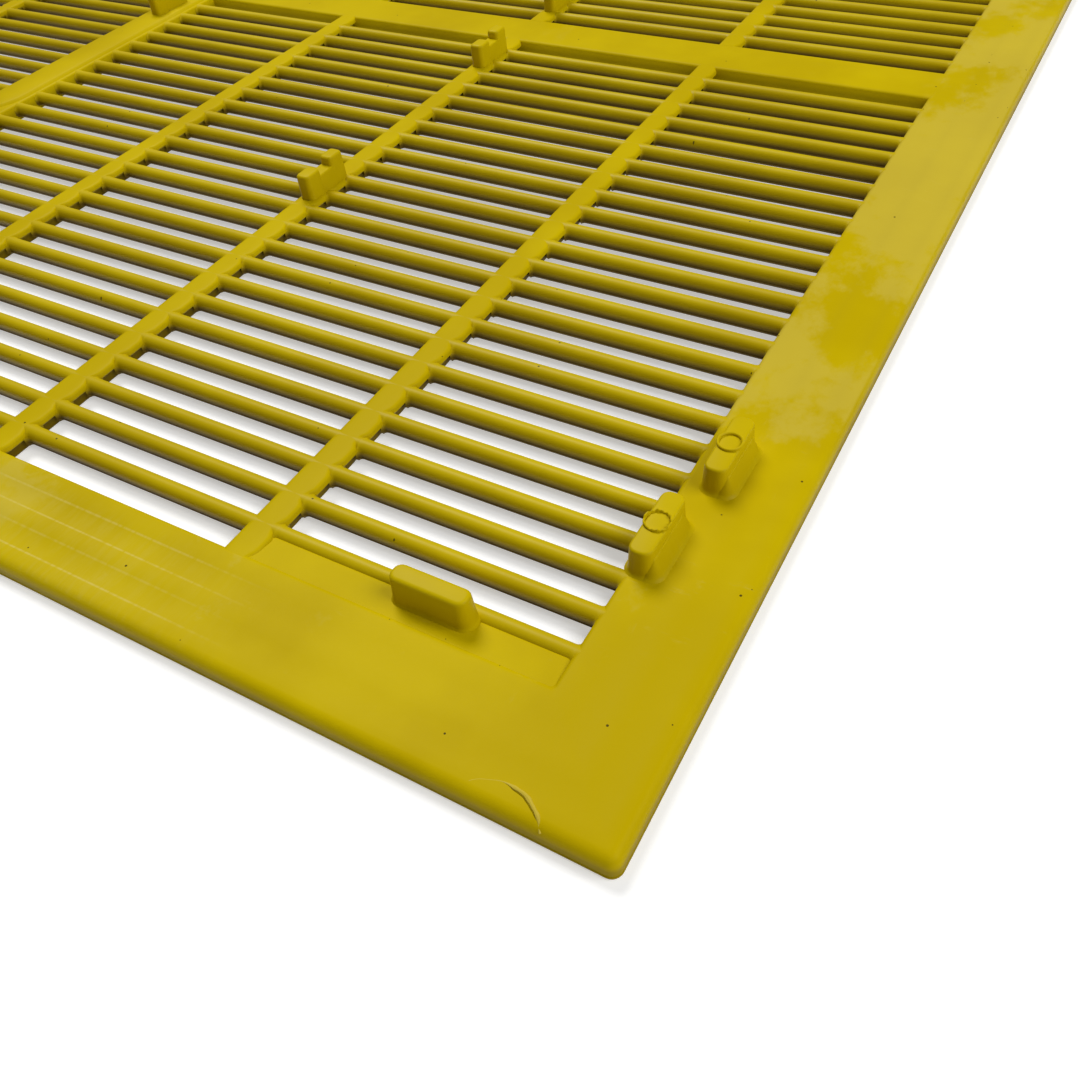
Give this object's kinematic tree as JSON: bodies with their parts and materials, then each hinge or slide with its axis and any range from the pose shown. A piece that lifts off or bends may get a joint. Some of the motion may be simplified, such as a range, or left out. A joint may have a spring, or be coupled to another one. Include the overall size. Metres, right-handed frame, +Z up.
{
  "type": "queen excluder",
  "caption": "Flat moulded hive grille with long bee slots between round-topped bars, wide border rails, a central cross and small lugs on top.",
  "frame": {"origin": "centre of the underside, on the face that rests on the hive box below", "axes": "+X along the bars (long side), +Y across the bars, +Z up, towards the side that carries the lugs"},
  "size_m": [0.506, 0.418, 0.01],
  "materials": {
    "yellow_plastic": "satin injection-moulded polymer, strong yellow, chalky where handled"
  },
  "bodies": {
    "root": {"centre_rail": "yellow_plastic", "centre_strip": "yellow_plastic", "corner_web_front_left": "yellow_plastic", "corner_web_front_right": "yellow_plastic", "corner_web_rear_left": "yellow_plastic", "corner_web_rear_right": "yellow_plastic", "cross_rail_left": "yellow_plastic", "cross_rail_right": "yellow_plastic", "end_lug_front_left": "yellow_plastic", "end_lug_front_right": "yellow_plastic", "end_lug_rear_left": "yellow_plastic", "end_lug_rear_right": "yellow_plastic", "front_rail": "yellow_plastic", "grille_front_left": "yellow_plastic", "grille_front_right": "yellow_plastic", "grille_rear_left": "yellow_plastic", "grille_rear_right": "yellow_plastic", "left_rail": "yellow_plastic", "rear_rail": "yellow_plastic", "right_rail": "yellow_plastic", "saddle_lug_front_centre": "yellow_plastic", "saddle_lug_front_left_inner": "yellow_plastic", "saddle_lug_front_left_outer": "yellow_plastic", "saddle_lug_front_right_inner": "yellow_plastic", "saddle_lug_front_right_outer": "yellow_plastic", "saddle_lug_rear_centre": "yellow_plastic", "saddle_lug_rear_left_inner": "yellow_plastic", "saddle_lug_rear_left_outer": "yellow_plastic", "saddle_lug_rear_right_inner": "yellow_plastic", "saddle_lug_rear_right_outer": "yellow_plastic", "side_lug_front_left_inner": "yellow_plastic", "side_lug_front_left_outer": "yellow_plastic", "side_lug_front_right_inner": "yellow_plastic", "side_lug_front_right_outer": "yellow_plastic", "side_lug_rear_left_inner": "yellow_plastic", "side_lug_rear_left_outer": "yellow_plastic", "side_lug_rear_right_inner": "yellow_plastic", "side_lug_rear_right_outer": "yellow_plastic"}
  },
  "joints": []
}
